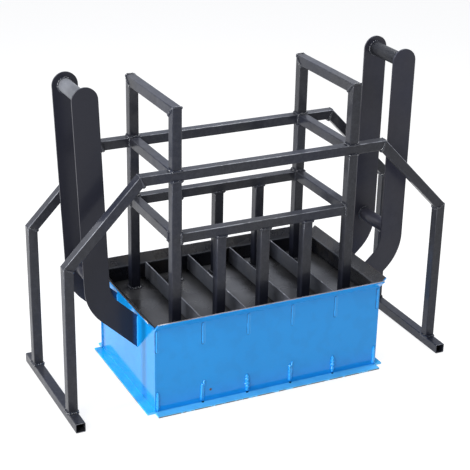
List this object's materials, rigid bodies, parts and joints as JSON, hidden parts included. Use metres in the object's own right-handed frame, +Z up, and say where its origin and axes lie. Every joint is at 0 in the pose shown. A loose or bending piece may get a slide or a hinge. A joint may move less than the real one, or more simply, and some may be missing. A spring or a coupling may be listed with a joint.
{
  "type": "concrete block mould with stripping frame",
  "caption": "Hand-operated steel mould box for concrete blocks, lifted by two tall handles off a free-standing tube frame whose plates hold the blocks down.",
  "frame": {"origin": "centre of the footprint on the ground", "axes": "+X along the row of cavities, towards the right-hand handle; +Y along one block, towards the back; +Z up"},
  "size_m": [1.137, 0.46, 0.886],
  "materials": {
    "mould_blue_paint": "satin gloss bright blue paint, worn to bare steel along the rim",
    "divider_steel": "dark grey paint, bare steel along the top edges",
    "press_plate_steel": "satin grey paint",
    "handle_dark_paint": "satin anthracite paint",
    "frame_dark_paint": "satin gloss anthracite paint"
  },
  "bodies": {
    "frame": {"left_foot_rail": "frame_dark_paint", "right_foot_rail": "frame_dark_paint", "left_front_leg": "frame_dark_paint", "left_back_leg": "frame_dark_paint", "right_front_leg": "frame_dark_paint", "right_back_leg": "frame_dark_paint", "left_front_brace": "frame_dark_paint", "left_back_brace": "frame_dark_paint", "right_front_brace": "frame_dark_paint", "right_back_brace": "frame_dark_paint", "front_upper_rail": "frame_dark_paint", "back_upper_rail": "frame_dark_paint", "left_upper_cross_rail": "frame_dark_paint", "right_upper_cross_rail": "frame_dark_paint", "front_lower_rail": "frame_dark_paint", "back_lower_rail": "frame_dark_paint", "left_lower_cross_rail": "frame_dark_paint", "right_lower_cross_rail": "frame_dark_paint", "left_hand_bar": "frame_dark_paint", "right_hand_bar": "frame_dark_paint", "left_front_hand_post": "frame_dark_paint", "left_back_hand_post": "frame_dark_paint", "right_front_hand_post": "frame_dark_paint", "right_back_hand_post": "frame_dark_paint", "left_front_press_post": "frame_dark_paint", "left_back_press_post": "frame_dark_paint", "right_front_press_post": "frame_dark_paint", "right_back_press_post": "frame_dark_paint", "front_strut_1": "frame_dark_paint", "front_strut_2": "frame_dark_paint", "front_strut_3": "frame_dark_paint", "back_strut_1": "frame_dark_paint", "back_strut_2": "frame_dark_paint", "back_strut_3": "frame_dark_paint", "press_plate_1": "press_plate_steel", "press_plate_2": "press_plate_steel", "press_plate_3": "press_plate_steel", "press_plate_4": "press_plate_steel", "press_plate_5": "press_plate_steel"},
    "mould": {"front_wall": "mould_blue_paint", "back_wall": "mould_blue_paint", "left_end_wall": "mould_blue_paint", "right_end_wall": "mould_blue_paint", "divider_1": "divider_steel", "divider_2": "divider_steel", "divider_3": "divider_steel", "divider_4": "divider_steel", "left_handle_front_plate": "handle_dark_paint", "left_handle_back_plate": "handle_dark_paint", "right_handle_front_plate": "handle_dark_paint", "right_handle_back_plate": "handle_dark_paint", "left_handle_grip": "handle_dark_paint", "right_handle_grip": "handle_dark_paint", "left_handle_cross_tube": "handle_dark_paint", "right_handle_cross_tube": "handle_dark_paint"}
  },
  "joints": [
    {"name": "mould_lift", "type": "slide", "parent": "frame", "child": "mould", "axis": [0, 0, 1], "range_m": [0, 0.205]}
  ]
}
